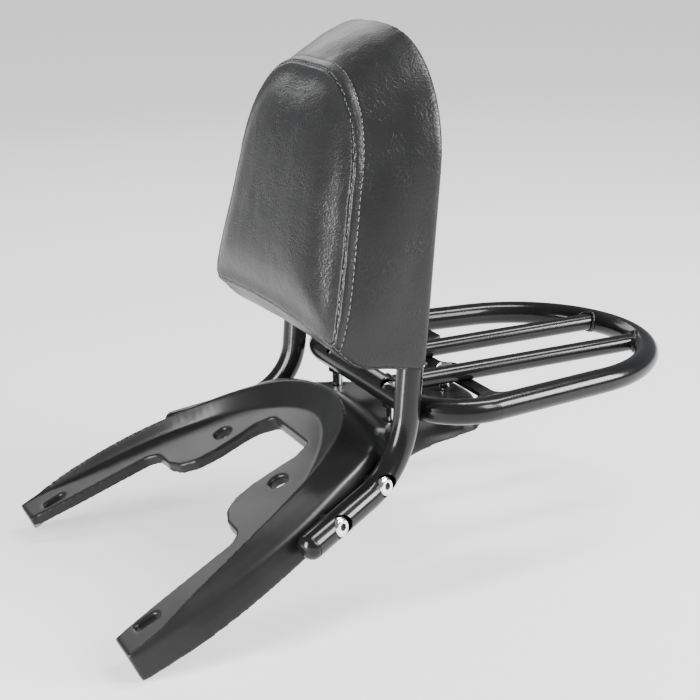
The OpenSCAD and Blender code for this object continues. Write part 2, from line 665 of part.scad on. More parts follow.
module pad_board() {
    color(coat) difference() {
        pad_slab(16, -tube_r - board_t, -tube_r - 0.3);
        for (i = [0, 1]) for (s = [-1, 1]) pad_place(s * screw_x, strap_c(i))
            cylinder(r = screw_d / 2 + bolt_gap, h = 60, center = true, $fn = 32);
    }
}

// Puts its child on the hoop's plane, its +Z towards the rear
module pad_place(x, h) {
    translate([x, knee_y, knee_z]) rotate([-leg_lean, 0, 0]) translate([0, 0, h])
        rotate([-90, 0, 0]) children();
}

module pad_strap(i) {
    color(coat) difference() {
        translate([0, knee_y, knee_z]) rotate([-leg_lean, 0, 0])
            translate([-leg_x, -tube_r - 0.3, strap_c(i) - strap_w / 2])
                cube([2 * leg_x, strap_t, strap_w]);
        both() rod(knee + leg_dir * 40, leg_top, tube_r);
        for (s = [-1, 1]) pad_place(s * screw_x, strap_c(i))
            cylinder(r = screw_d / 2 + 0.4, h = 60, center = true, $fn = 32);
    }
}

module pad_strap_upper() {
    pad_strap(1);
}

module pad_strap_lower() {
    pad_strap(0);
}

washer_t = 1.2;
strap_back = -tube_r - 0.3 + strap_t;

module pad_screws(i) {
    color(chrome) for (s = [-1, 1]) pad_place(s * screw_x, strap_c(i)) difference() {
        union() {
            translate([0, 0, strap_back + washer_t]) cylinder(d1 = 11, d2 = 8.5, h = 3.2, $fn = 40);
            translate([0, 0, strap_back - 9]) cylinder(d = screw_d, h = 9 + washer_t + 0.5, $fn = 40);
        }
        translate([0, 0, strap_back + washer_t + 1.4]) cylinder(d = 4.6, h = 4, $fn = 6);
    }
}

module pad_screws_upper() {
    pad_screws(1);
}

module pad_screws_lower() {
    pad_screws(0);
}

module pad_washers(i) {
    color(chrome) for (s = [-1, 1]) pad_place(s * screw_x, strap_c(i)) difference() {
        translate([0, 0, strap_back]) cylinder(r = 7, h = washer_t, $fn = 40);
        cylinder(r = screw_d / 2 + 0.2, h = 60, center = true, $fn = 32);
    }
}

module pad_washers_upper() {
    pad_washers(1);
}

module pad_washers_lower() {
    pad_washers(0);
}

bracket();
hoop();
hoop_cap_right();
hoop_cap_left();
hoop_sleeves_right();
hoop_sleeves_left();
side_bolts_right();
side_bolts_left();
rack_loop();
rack_bar_right();
rack_bar_left();
rack_plate();
rack_sleeve_right();
rack_sleeve_left();
rack_bolt_right();
rack_bolt_left();
rack_bolt_rear();
pad_cushion();
pad_board();
pad_strap_upper();
pad_strap_lower();
pad_screws_upper();
pad_screws_lower();
pad_washers_upper();
pad_washers_lower();
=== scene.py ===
import bpy
import math
import numpy
from mathutils import Matrix, Vector, noise
from mathutils.bvhtree import BVHTree
from mathutils.kdtree import KDTree


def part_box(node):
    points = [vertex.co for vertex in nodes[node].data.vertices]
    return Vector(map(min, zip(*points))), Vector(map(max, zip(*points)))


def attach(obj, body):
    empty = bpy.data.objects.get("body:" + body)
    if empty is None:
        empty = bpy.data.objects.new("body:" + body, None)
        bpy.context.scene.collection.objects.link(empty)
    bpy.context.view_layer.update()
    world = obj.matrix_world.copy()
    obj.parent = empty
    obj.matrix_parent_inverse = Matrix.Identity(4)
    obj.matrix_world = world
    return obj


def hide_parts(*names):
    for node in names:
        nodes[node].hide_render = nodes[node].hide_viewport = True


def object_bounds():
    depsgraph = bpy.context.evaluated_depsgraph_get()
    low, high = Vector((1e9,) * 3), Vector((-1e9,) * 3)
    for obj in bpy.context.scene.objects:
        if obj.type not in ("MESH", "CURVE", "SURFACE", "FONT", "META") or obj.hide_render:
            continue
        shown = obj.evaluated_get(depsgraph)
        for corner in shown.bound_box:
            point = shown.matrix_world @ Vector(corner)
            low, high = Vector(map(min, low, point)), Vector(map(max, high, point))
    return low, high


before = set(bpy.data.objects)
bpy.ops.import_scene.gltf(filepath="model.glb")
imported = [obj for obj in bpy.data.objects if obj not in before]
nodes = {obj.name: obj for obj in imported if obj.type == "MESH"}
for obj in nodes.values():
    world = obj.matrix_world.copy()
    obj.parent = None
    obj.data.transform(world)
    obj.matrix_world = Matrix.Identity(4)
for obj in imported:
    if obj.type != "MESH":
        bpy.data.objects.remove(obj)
cadLow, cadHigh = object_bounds()
print("frame loaded,", len(nodes), "solids")


def clearSelection():
    if bpy.context.object and bpy.context.object.mode != "OBJECT":
        bpy.ops.object.mode_set(mode="OBJECT")
    bpy.ops.object.select_all(action="DESELECT")


def pick(piece):
    clearSelection()
    piece.select_set(True)
    bpy.context.view_layer.objects.active = piece


def applyModifier(piece, kind, **settings):
    pick(piece)
    modifier = piece.modifiers.new(kind.title(), kind)
    for key, value in settings.items():
        setattr(modifier, key, value)
    bpy.ops.object.modifier_apply(modifier=modifier.name)


def handOver(piece, slotName, material, *replaced):
    pick(piece)
    bpy.ops.object.transform_apply(location=True, rotation=True, scale=True)
    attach(piece, "root")
    if replaced:
        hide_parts(*replaced)
    piece.data.materials.clear()
    piece.data.materials.append(material)
    return piece


def copyOf(nodeName, pieceName):
    # a copy of a solid, its loose triangles merged, free of the solid's own marks
    piece = nodes[nodeName].copy()
    piece.data = nodes[nodeName].data.copy()
    piece.name = pieceName
    piece.parent = None
    for key in list(piece.keys()):
        del piece[key]
    bpy.context.scene.collection.objects.link(piece)
    pick(piece)
    bpy.ops.mesh.customdata_custom_splitnormals_clear()
    bpy.ops.object.mode_set(mode="EDIT")
    bpy.ops.mesh.select_all(action="SELECT")
    bpy.ops.mesh.remove_doubles(threshold=0.00001)
    bpy.ops.object.mode_set(mode="OBJECT")
    return piece


def smoothByAngle(piece, degrees):
    pick(piece)
    bpy.ops.object.shade_smooth_by_angle(angle=math.radians(degrees))


def castSkin(nodeName, pieceName, look):
    # a copy meshed anew and evened out, so that its facets and sharp edges go
    piece = copyOf(nodeName, pieceName)
    applyModifier(piece, "REMESH", mode="VOXEL", voxel_size=look["voxel"])
    applyModifier(piece, "SMOOTH", factor=0.5, iterations=look["rounds"])
    pick(piece)
    bpy.ops.object.shade_smooth()
    return piece


def joined(name, pieces):
    clearSelection()
    for piece in pieces:
        piece.select_set(True)
    bpy.context.view_layer.objects.active = pieces[0]
    bpy.ops.object.join()
    bpy.context.object.name = name
    return bpy.context.object


def treeOf(piece):
    faces = [list(p.vertices) for p in piece.data.polygons]
    return BVHTree.FromPolygons([v.co for v in piece.data.vertices], faces)


def nearTo(line):
    tree = KDTree(len(line))
    for i, p in enumerate(line):
        tree.insert(p, i)
    tree.balance()
    return tree


# Finishes

def newFinish(name, look):
    material = bpy.data.materials.new(name)
    material.use_nodes = True
    shader = material.node_tree.nodes["Principled BSDF"]
    shader.inputs["Base Color"].default_value = (*look["color"], 1)
    shader.inputs["Metallic"].default_value = look.get("metallic", 0)
    shader.inputs["Roughness"].default_value = look["roughness"][0]
    shader.inputs["Coat Weight"].default_value = look.get("coat", 0)
    shader.inputs["Coat Roughness"].default_value = look.get("coatRoughness", 0.1)
    shader.inputs["Specular IOR Level"].default_value = look.get("specular", 0.5)
    return material


def addNode(material, kind, **values):
    node = material.node_tree.nodes.new(kind)
    for key, value in values.items():
        node.inputs[key.replace("_", " ")].default_value = value
    return node


def wire(material, source, outName, target, inName):
    material.node_tree.links.new(source.outputs[outName], target.inputs[inName])


patchLook = {"detail": 4.0, "from": 0.3, "to": 0.7, "tintGain": 1.6}


def varyRoughness(material, place, look):
    # slow patches, a little duller and paler than the rest
    shader = material.node_tree.nodes["Principled BSDF"]
    glossy, dull = look["roughness"]
    patches = addNode(material, "ShaderNodeTexNoise", Scale=look["patchScale"], Detail=patchLook["detail"])
    spread = addNode(material, "ShaderNodeMapRange", From_Min=patchLook["from"], From_Max=patchLook["to"],
                     To_Min=glossy, To_Max=dull)
    wire(material, place, "Object", patches, "Vector")
    wire(material, patches, "Fac", spread, "Value")
    wire(material, spread, "Result", shader, "Roughness")
    gain = look.get("tintGain", patchLook["tintGain"])
    tint = addNode(material, "ShaderNodeMix")
    tint.data_type = "RGBA"
    tint.inputs[6].default_value = (*look["color"], 1)
    tint.inputs[7].default_value = (*[c * gain for c in look["color"]], 1)
    material.node_tree.links.new(patches.outputs["Fac"], tint.inputs[0])
    material.node_tree.links.new(tint.outputs[2], shader.inputs["Base Color"])


def paintedFinish(name, look):
    # paint, plating or moulded skin, with a fine grain in the surface
    material = newFinish(name, look)
    shader = material.node_tree.nodes["Principled BSDF"]
    place = material.node_tree.nodes.new("ShaderNodeTexCoord")
    varyRoughness(material, place, look)
    detail = look.get("grainDetail", 3.0)
    grain = addNode(material, "ShaderNodeTexNoise", Scale=look["grainScale"], Detail=detail)
    bump = addNode(material, "ShaderNodeBump", Strength=look["grainBump"], Distance=look["grainDepth"])
    wire(material, place, "Object", grain, "Vector")
    wire(material, grain, "Fac", bump, "Height")
    wire(material, bump, "Normal", shader, "Normal")
    return material


castLook = {"color": (0.0055, 0.0055, 0.0057), "roughness": (0.30, 0.38), "patchScale": 22.0,
            "coat": 0.08, "coatRoughness": 0.25, "specular": 0.2,
            "grainScale": 1300.0, "grainBump": 0.16, "grainDepth": 0.0003}
tubeLook = {"color": (0.004, 0.004, 0.0042), "roughness": (0.19, 0.25), "patchScale": 30.0,
            "coat": 0.22, "coatRoughness": 0.1, "specular": 0.16,
            "grainScale": 620.0, "grainBump": 0.05, "grainDepth": 0.0003, "grainDetail": 1.0}
chromeLook = {"color": (0.80, 0.80, 0.81), "roughness": (0.06, 0.14), "patchScale": 260.0, "metallic": 1.0,
              "tintGain": 1.1, "grainScale": 900.0, "grainBump": 0.03, "grainDepth": 0.0001}
zincLook = {"color": (0.46, 0.46, 0.47), "roughness": (0.28, 0.42), "patchScale": 180.0, "metallic": 1.0,
            "tintGain": 1.25, "grainScale": 1500.0, "grainBump": 0.12, "grainDepth": 0.0001}
boardLook = {"color": (0.014, 0.014, 0.014), "roughness": (0.48, 0.62), "patchScale": 40.0,
             "grainScale": 1100.0, "grainBump": 0.35, "grainDepth": 0.0003}
threadLook = {"color": (0.05, 0.05, 0.052), "roughness": (0.26, 0.4), "patchScale": 400.0, "coat": 0.5,
              "coatRoughness": 0.25, "grainScale": 2600.0, "grainBump": 0.4, "grainDepth": 0.0002}

castBlack = paintedFinish("castBlack", castLook)
tubeBlack = paintedFinish("tubeBlack", tubeLook)
chrome = paintedFinish("chrome", chromeLook)
zinc = paintedFinish("zinc", zincLook)
board = paintedFinish("mouldedBoard", boardLook)
thread = paintedFinish("blackThread", threadLook)

leatherLook = {"color": (0.0085, 0.0085, 0.0088), "roughness": (0.32, 0.41), "patchScale": 18.0,
               "tintGain": 1.3, "specular": 0.26, "bendScale": 70.0, "bendDetail": 3.0, "bend": 0.007,
               "pebbleScale": 560.0, "pebbleDepth": 0.00030, "creaseScale": 240.0, "creaseDepth": 0.00018,
               "creaseEdge": 0.16, "bump": 0.7, "fadeScale": 42.0, "fadeDetail": 2.0, "fadeFrom": 0.38,
               "fadeTo": 0.62}


def bentPlaces(material, place, look):
    # the places are bent by a slow noise, so that pebbles and creases run in no rows
    bend = addNode(material, "ShaderNodeTexNoise", Scale=look["bendScale"], Detail=look["bendDetail"])
    shift = material.node_tree.nodes.new("ShaderNodeVectorMath")
    shift.operation = "SCALE"
    shift.inputs["Scale"].default_value = look["bend"]
    moved = material.node_tree.nodes.new("ShaderNodeVectorMath")
    moved.operation = "ADD"
    wire(material, place, "Object", bend, "Vector")
    wire(material, bend, "Color", shift, "Vector")
    material.node_tree.links.new(place.outputs["Object"], moved.inputs[0])
    material.node_tree.links.new(shift.outputs["Vector"], moved.inputs[1])
    return moved


def leatherFinish(name, look):
    material = newFinish(name, look)
    shader = material.node_tree.nodes["Principled BSDF"]
    links = material.node_tree.links
    place = material.node_tree.nodes.new("ShaderNodeTexCoord")
    varyRoughness(material, place, look)
    moved = bentPlaces(material, place, look)
    pebbles = addNode(material, "ShaderNodeTexVoronoi", Scale=look["pebbleScale"], Randomness=1.0)
    pebbles.feature = "SMOOTH_F1"
    wire(material, moved, "Vector", pebbles, "Vector")
    fine = addNode(material, "ShaderNodeBump", Strength=look["bump"], Distance=look["pebbleDepth"])
    fine.invert = True
    wire(material, pebbles, "Distance", fine, "Height")
    # creases are the edges of larger cells, faded out in patches
    cells = addNode(material, "ShaderNodeTexVoronoi", Scale=look["creaseScale"], Randomness=1.0)
    cells.feature = "DISTANCE_TO_EDGE"
    wire(material, moved, "Vector", cells, "Vector")
    valley = addNode(material, "ShaderNodeMapRange", From_Max=look["creaseEdge"])
    valley.interpolation_type = "SMOOTHSTEP"
    wire(material, cells, "Distance", valley, "Value")
    fade = addNode(material, "ShaderNodeTexNoise", Scale=look["fadeScale"], Detail=look["fadeDetail"])
    wire(material, place, "Object", fade, "Vector")
    share = addNode(material, "ShaderNodeMapRange", From_Min=look["fadeFrom"], From_Max=look["fadeTo"])
    wire(material, fade, "Fac", share, "Value")
    mixed = material.node_tree.nodes.new("ShaderNodeMix")
    mixed.data_type = "FLOAT"
    mixed.inputs[2].default_value = 1.0
    links.new(share.outputs["Result"], mixed.inputs[0])
    links.new(valley.outputs["Result"], mixed.inputs[3])
    creases = addNode(material, "ShaderNodeBump", Strength=look["bump"], Distance=look["creaseDepth"])
    links.new(mixed.outputs[0], creases.inputs["Height"])
    wire(material, fine, "Normal", creases, "Normal")
    wire(material, creases, "Normal", shader, "Normal")
    return material


leather = leatherFinish("blackLeather", leatherLook)

# every solid gets its finish, also those that a piece below stands for

finishOf = {"bracket": castBlack, "pad_board": board, "pad_cushion": leather}
for name, solid in nodes.items():
    if name in finishOf:
        finish = finishOf[name]
    elif "bolt" in name:
        finish = chrome
    elif "screw" in name or "washer" in name:
        finish = zinc
    else:
        finish = tubeBlack
    if not solid.data.materials:
        solid.data.materials.append(finish)
    for i in range(len(solid.data.materials)):
        solid.data.materials[i] = finish
print("finishes made")


# The cast bracket, its edges rounded as a casting's are

bracketLook = {"voxel": 0.0013, "rounds": 12}
bracket = castSkin("bracket", "bracketCasting", bracketLook)
handOver(bracket, "cast_black", castBlack, "bracket")
print("bracket:", len(bracket.data.polygons), "faces")

# The hoop's two closed ends, smoothed into domes

capLook = {"voxel": 0.0007, "rounds": 6}
for nodeName, pieceName in (("hoop_cap_right", "hoopEndRight"), ("hoop_cap_left", "hoopEndLeft")):
    handOver(castSkin(nodeName, pieceName, capLook), "tube_black", tubeBlack, nodeName)
print("hoop's ends domed")


# Weld beads

beadLook = {"around": 8, "rippleDepth": 0.16, "mergeGap": 0.000005, "endStart": 0.05, "endGain": 0.6,
            "fewest": 7}


def wrapBead(path, look, closed):
    # a grid rolled round a path into a bead with the ripples of a weld
    count = len(path)
    steps = count if closed else count - 1
    bpy.ops.object.select_all(action="DESELECT")
    bpy.ops.mesh.primitive_grid_add(x_subdivisions=steps, y_subdivisions=beadLook["around"], size=1)
    bead = bpy.context.object
    run = [0.0]
    for i in range(1, count):
        run.append(run[-1] + (path[i] - path[i - 1]).length)
    for v in bead.data.vertices:
        step = round((v.co.x + 0.5) * steps)
        i = step % count if closed else step
        before = path[i - 1] if closed or i > 0 else path[i]
        after = path[(i + 1) % count] if closed or i < count - 1 else path[i]
        along = (after - before).normalized()
        side = along.cross(look["up"]).normalized()
        top = side.cross(along)
        turn = 2 * math.pi * (v.co.y + 0.5)
        ripple = math.cos(2 * math.pi * run[i] / look["ripple"])
        radius = look["radius"] * (1 + beadLook["rippleDepth"] * ripple)
        if not closed:  # the bead swells from nothing at its two ends
            radius *= min(1.0, beadLook["endStart"] + beadLook["endGain"] * min(i, count - 1 - i))
        v.co = path[i] + side * radius * math.cos(turn) + top * radius * math.sin(turn)
    pick(bead)
    bpy.ops.object.mode_set(mode="EDIT")
    bpy.ops.mesh.select_all(action="SELECT")
    bpy.ops.mesh.remove_doubles(threshold=beadLook["mergeGap"])
    if not closed:  # the two ends are capped
        bpy.ops.mesh.select_all(action="DESELECT")
        bpy.ops.mesh.select_mode(type="EDGE")
        bpy.ops.mesh.select_non_manifold()
        bpy.ops.mesh.fill()
    bpy.ops.mesh.select_all(action="SELECT")
    bpy.ops.mesh.normals_make_consistent(inside=False)
    bpy.ops.object.mode_set(mode="OBJECT")
    bpy.ops.object.shade_smooth()
    return bead


# where the two bars end on the loop, front and rear

barWeld = {"radius": 0.0019, "ripple": 0.0028, "up": Vector((0, 1, 0)), "barRadius": 0.0087, "height": 0.0566,
           "spread": 0.0367, "points": 72, "middleY": 0.25, "missed": 0.12}
loopSkin = treeOf(nodes["rack_loop"])


def barRing(side, way):
    ring = []
    for i in range(barWeld["points"]):
        turn = 2 * math.pi * i / barWeld["points"]
        start = Vector((side * barWeld["spread"] + barWeld["barRadius"] * math.cos(turn), barWeld["middleY"],
                        barWeld["height"] + barWeld["barRadius"] * math.sin(turn)))
        hit = loopSkin.ray_cast(start, Vector((0, way, 0)))[0]
        ring.append(hit if hit else start + Vector((0, way * barWeld["missed"], 0)))
    return ring


beads = [wrapBead(barRing(side, way), barWeld, True) for side in (-1, 1) for way in (-1, 1)]

# where the plate's ends lie under the loop's rails

plateWeld = {"radius": 0.0021, "ripple": 0.003, "up": Vector((1, 0, 0)), "height": 0.0493, "points": 160,
             "startX": 0.05, "inset": 0.003, "above": 0.004, "reach": 0.006}
plateLow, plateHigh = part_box("rack_plate")
plateSkin = treeOf(nodes["rack_plate"])
for side in (-1, 1):
    line = []
    for i in range(plateWeld["points"]):
        y = plateLow[1] + (plateHigh[1] - plateLow[1]) * i / (plateWeld["points"] - 1)
        start = Vector((side * plateWeld["startX"], y, plateWeld["height"]))
        hit = loopSkin.ray_cast(start, Vector((side, 0, 0)))[0]
        if not hit:
            continue
        over = hit + Vector((-side * plateWeld["inset"], 0, plateWeld["above"]))
        if plateSkin.ray_cast(over, Vector((0, 0, -1)), plateWeld["reach"])[0]:
            line.append(hit)
    if len(line) >= beadLook["fewest"]:
        beads.append(wrapBead(line, plateWeld, False))

# where the pad's straps meet the hoop's legs

strapWeld = {"radius": 0.0018, "ripple": 0.0028, "up": Vector((0, 1, 0)), "points": 24, "startX": 0.08,
             "inset": 0.001, "behind": 0.0043, "sheet": 0.004}
hoopSkin = treeOf(nodes["hoop"])
for name in ("pad_strap_upper", "pad_strap_lower"):
    strapLow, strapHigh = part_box(name)
    for side in (-1, 1):
        line = []
        for i in range(strapWeld["points"]):
            share = i / (strapWeld["points"] - 1)
            rise = strapHigh[2] - strapLow[2] - 2 * strapWeld["inset"]
            lean = strapHigh[1] - strapLow[1] - strapWeld["sheet"]
            start = Vector((side * strapWeld["startX"], strapLow[1] + strapWeld["behind"] + lean * share,
                            strapLow[2] + strapWeld["inset"] + rise * share))
            hit = hoopSkin.ray_cast(start, Vector((side, 0, 0)))[0]
            if hit:
                line.append(hit)
        if len(line) >= beadLook["fewest"]:
            beads.append(wrapBead(line, strapWeld, False))
beadCount = len(beads)
handOver(joined("weldBeads", beads), "tube_black", tubeBlack)
print("weld beads:", beadCount)


# The rack's bolts, with their bare threads

threadCut = {"pitch": 0.00125, "section": 0.0007, "rootGap": 0.0006, "bottom": 0.018, "top": 0.05,
             "runOut": 0.004, "steps": 28, "endDeep": 0.0005, "core": 0.001, "near": 0.0001,
             "ridgeCrease": 35, "boltCrease": 40}


def threadRidge(shankRadius, axis):
    bpy.ops.object.select_all(action="DESELECT")
    bpy.ops.mesh.primitive_circle_add(vertices=3, radius=threadCut["section"])
    ridge = bpy.context.object
    for v in ridge.data.vertices:  # one corner of the section points out, as a thread's crest does
        v.co = Vector((shankRadius - threadCut["section"] + v.co.y, 0, v.co.x))
    turns = int((threadCut["top"] - threadCut["bottom"]) / threadCut["pitch"])
    applyModifier(ridge, "SCREW", axis="Z", angle=2 * math.pi, screw_offset=threadCut["pitch"],
                  iterations=turns, steps=threadCut["steps"], render_steps=threadCut["steps"],
                  use_merge_vertices=False)
    for v in ridge.data.vertices:
        v.co += axis + Vector((0, 0, threadCut["bottom"]))
    pick(ridge)
    bpy.ops.object.mode_set(mode="EDIT")
    bpy.ops.mesh.select_all(action="SELECT")
    bpy.ops.mesh.normals_make_consistent(inside=False)
    bpy.ops.object.mode_set(mode="OBJECT")
    smoothByAngle(ridge, threadCut["ridgeCrease"])
    return ridge


def rackBolt(nodeName, pieceName):
    low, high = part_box(nodeName)
    axis = Vector(((low[0] + high[0]) / 2, (low[1] + high[1]) / 2, 0))
    bolt = copyOf(nodeName, pieceName)
    vertices = bolt.data.vertices
    end = [v.co - axis for v in vertices if v.co.z < low[2] + threadCut["endDeep"]]
    shankRadius = max(math.hypot(d.x, d.y) for d in end)
    for v in vertices:  # the shank is turned down to the thread's root
        flat = Vector((v.co.x - axis.x, v.co.y - axis.y))
        onShank = threadCut["core"] < flat.length < shankRadius + threadCut["near"]
        if onShank and v.co.z < threadCut["top"] + threadCut["runOut"]:
            flat *= (shankRadius - threadCut["rootGap"]) / shankRadius
            v.co.x, v.co.y = axis.x + flat.x, axis.y + flat.y
    smoothByAngle(bolt, threadCut["boltCrease"])
    bolt = joined(pieceName, [bolt, threadRidge(shankRadius, axis)])
    handOver(bolt, "chrome", chrome, nodeName)


rackBolt("rack_bolt_right", "rackBoltRight")
rackBolt("rack_bolt_left", "rackBoltLeft")
rackBolt("rack_bolt_rear", "rackBoltRear")
print("bolt threads cut")


# The four side bolts' button heads, domed and with a hexagon socket

headLook = {"radius": 0.00875, "height": 0.0060, "round": 0.0042, "sides": 64, "roundSteps": 10,
            "socket": 0.0034, "socketDeep": 0.0032, "shadeDiscShare": 0.995, "shadeDiscHeight": 0.0014,
            "shadeDiscRise": 0.0006, "near": 0.0001, "headShare": 0.95, "headCrease": 32, "shankCrease": 35}
# near-black finish of the socket discs: painted shade for the inside of each hexagon socket
socketShadeLook = {"color": (0.006, 0.006, 0.006), "roughness": (0.4, 0.5), "patchScale": 200.0, "specular": 0.2,
              "grainScale": 900.0, "grainBump": 0.1, "grainDepth": 0.0001}
socketShade = paintedFinish("socketShade", socketShadeLook)


def turnedBlank(sides, radius, height, middle):
    bpy.ops.object.select_all(action="DESELECT")
    bpy.ops.mesh.primitive_cylinder_add(vertices=sides, radius=radius, depth=height, location=(0, 0, middle))
    blank = bpy.context.object
    bpy.ops.object.transform_apply(location=True, rotation=True, scale=True)
    return blank


def buttonHead():
    height = headLook["height"]
    head = turnedBlank(headLook["sides"], headLook["radius"], height, height / 2)
    topFrom = height - headLook["near"]
    for v in head.data.vertices:
        v.select = v.co.z > topFrom
    for e in head.data.edges:
        e.select = all(head.data.vertices[i].co.z > topFrom for i in e.vertices)
    for p in head.data.polygons:
        p.select = p.center.z > topFrom
    bpy.ops.object.mode_set(mode="EDIT")
    bpy.ops.mesh.select_mode(type="EDGE")
    bpy.ops.mesh.bevel(offset=headLook["round"], segments=headLook["roundSteps"], profile=0.5, affect="EDGES")
    bpy.ops.object.mode_set(mode="OBJECT")
    key = turnedBlank(6, headLook["socket"], headLook["socketDeep"] * 2, height)
    applyModifier(head, "BOOLEAN", operation="DIFFERENCE", object=key, solver="EXACT")
    bpy.data.objects.remove(key)
    return head


def socketShadeDisc():
    # a dark disc at the socket's bottom, its near-black colour painted shade for the socket's shaded inside
    middle = headLook["height"] - headLook["socketDeep"] + headLook["shadeDiscRise"]
    return turnedBlank(6, headLook["socket"] * headLook["shadeDiscShare"], headLook["shadeDiscHeight"], middle)


def islands(mesh):
    # the separate solids of one node, as lists of places
    parent = list(range(len(mesh.vertices)))

    def root(i):
        while parent[i] != i:
            parent[i] = parent[parent[i]]
            i = parent[i]
        return i

    for e in mesh.edges:
        parent[root(e.vertices[0])] = root(e.vertices[1])
    groups = {}
    for v in mesh.vertices:
        groups.setdefault(root(v.index), []).append(v.index)
    return list(groups.values())


def boltSeat(places):
    # a bolt's axis, pointing to its head, and the place on it where the head begins
    middle = places.mean(axis=0)
    values, vectors = numpy.linalg.eigh(numpy.cov((places - middle).T))
    axis = vectors[:, 2] if values[2] - values[1] > values[1] - values[0] else vectors[:, 0]
    run = (places - middle) @ axis
    wide = numpy.linalg.norm((places - middle) - numpy.outer(run, axis), axis=1)
    headRun = run[wide > wide.max() * headLook["headShare"]]
    if headRun.mean() < (run.max() + run.min()) / 2:
        axis, headRun = -axis, -headRun
    return Vector(axis), Vector(middle + axis * headRun.min())


socketShadeDiscs = []
for nodeName, pieceName in (("side_bolts_right", "sideBoltsRight"), ("side_bolts_left", "sideBoltsLeft")):
    bolts = copyOf(nodeName, pieceName)
    pieces = [bolts]
    for group in islands(bolts.data):
        places = numpy.array([bolts.data.vertices[i].co for i in group])
        axis, seat = boltSeat(places)
        seating = Matrix.Translation(seat) @ axis.to_track_quat("Z", "Y").to_matrix().to_4x4()
        # each head gets a dark disc in its socket, painted shade
        head, shadeDisc = buttonHead(), socketShadeDisc()
        head.data.transform(seating)
        shadeDisc.data.transform(seating)
        smoothByAngle(head, headLook["headCrease"])
        pieces.append(head)
        socketShadeDiscs.append(shadeDisc)
        for i in group:  # the plain head gives way to the domed one
            v = bolts.data.vertices[i]
            past = (v.co - seat).dot(axis) - headLook["near"]
            if past > 0:
                v.co -= axis * past
    smoothByAngle(bolts, headLook["shankCrease"])
    handOver(joined(pieceName, pieces), "chrome", chrome, nodeName)
# the dark socket discs, joined: painted shade in the hexagon sockets
handOver(joined("sideBoltSocketShade", socketShadeDiscs), "chrome", socketShade)
print("side bolts headed")


# The pad: outlines as the pattern maker draws them, in millimetres

padShape = {"backWidth": 129.5, "backLow": 95.0, "backMiddle": 258.5, "backRound": 103.0,
            "backCorner": 12, "frontWidth": 127.5, "frontTopWidth": 113.0, "frontLow": 129.0,
            "frontLift": 5.0, "frontMiddle": 242.0, "frontRound": 90.0, "frontCorner": 9,
            "rimDepth": 7.0, "rimTurn": 3, "kneeY": 90.2, "kneeZ": 12.5, "lean": 5.3,
            "panelFootY": 22, "panelFootZ": 127, "panelLean": 11.7}
archSteps = {"foot": 5, "corner": 6, "flank": 9, "arch": 14}
padMiddle = Vector((0, 0, 0.225))


def archLoop(low, top, base, lift, middle, rounding, corner):
    # half of the outline from the middle of its foot to its top, then the other half as its mirror image
    foot, flank = archSteps["foot"], archSteps["flank"]
    half = [((low - corner) * i / foot, base + lift * (1 - (i / foot) ** 2)) for i in range(foot)]
    for i in range(archSteps["corner"]):
        a = math.radians(90 * i / archSteps["corner"] - 90)
        half.append((low - corner + corner * math.cos(a), base + corner + corner * math.sin(a)))
    for i in range(1, flank):
        t = i / flank
        half.append((low + (top - low) * t * t * (2 - t), base + corner + (middle - base - corner) * t))
    for i in range(archSteps["arch"]):
        a = math.radians(90 * i / (archSteps["arch"] - 1))
        half.append((top - rounding + rounding * math.cos(a), middle + rounding * math.sin(a)))
    half.append(((top - rounding) / 2, middle + rounding))
    return half + [(0, middle + rounding)] + [(-x, z) for x, z in reversed(half[1:])]


def hoopY(z):
    return padShape["kneeY"] + (z - padShape["kneeZ"]) * math.tan(math.radians(padShape["lean"]))


def panelY(z):
    slope = math.tan(math.radians(padShape["panelLean"]))
    return padShape["panelFootY"] + (z - padShape["panelFootZ"]) * slope


def hoopAt(place):
    # the hoop's axis at a place's height, in metres
    return hoopY(place.z * 1000) / 1000


def awayFromMiddle(place):
    return Vector((place.x, 0, place.z)) - padMiddle


backLoop = archLoop(padShape["backWidth"], padShape["backWidth"], padShape["backLow"], 0,
                    padShape["backMiddle"], padShape["backRound"], padShape["backCorner"])
frontLoop = archLoop(padShape["frontWidth"], padShape["frontTopWidth"], padShape["frontLow"],
                     padShape["frontLift"], padShape["frontMiddle"], padShape["frontRound"],
                     padShape["frontCorner"])
frontRim = [Vector((x, panelY(z), z)) / 1000 for x, z in frontLoop]
backRim = [Vector((x, hoopY(z) + padShape["rimDepth"] - padShape["rimTurn"], z)) / 1000 for x, z in backLoop]


# The cover: blown up as cloth on a coarse mesh, and that fullness laid on a fine one

padLook = {"fineVoxel": 0.0024, "fineEvenings": 4, "shoulderRounds": 16,
           "rearTurn": 0.4, "wallTurn": -0.25, "wallDeep": 0.03, "softFrom": 0.008, "softOver": 0.02}
bagLook = {"voxel": 0.0048, "evenings": 7, "shrink": 0.0012, "frames": 20, "cap": 0.0026, "fieldRounds": 25,
           "holdBack": 0.2, "nearest": 4, "nearGap": 0.0008}
clothLook = {"quality": 3, "mass": 0.3, "tension_stiffness": 25, "compression_stiffness": 25,
             "shear_stiffness": 12, "bending_stiffness": 1.5, "use_pressure": True,
             "uniform_pressure_force": 4.0, "vertex_group_mass": "held"}


def isHeld(v):
    # the board's recess and the rim's rear face stay as they are
    outward = awayFromMiddle(v.co).normalized()
    inWall = v.normal.dot(outward) < padLook["wallTurn"] and v.co.y > hoopAt(v.co) - padLook["wallDeep"]
    return v.normal.y > padLook["rearTurn"] or inWall


def softShare(place):
    # how freely the cover may move: not at all at its rear rim, wholly from 28 mm ahead of it
    rear = hoopAt(place) + padShape["rimDepth"] / 1000 - place.y
    return min(max((rear - padLook["softFrom"]) / padLook["softOver"], 0), 1)


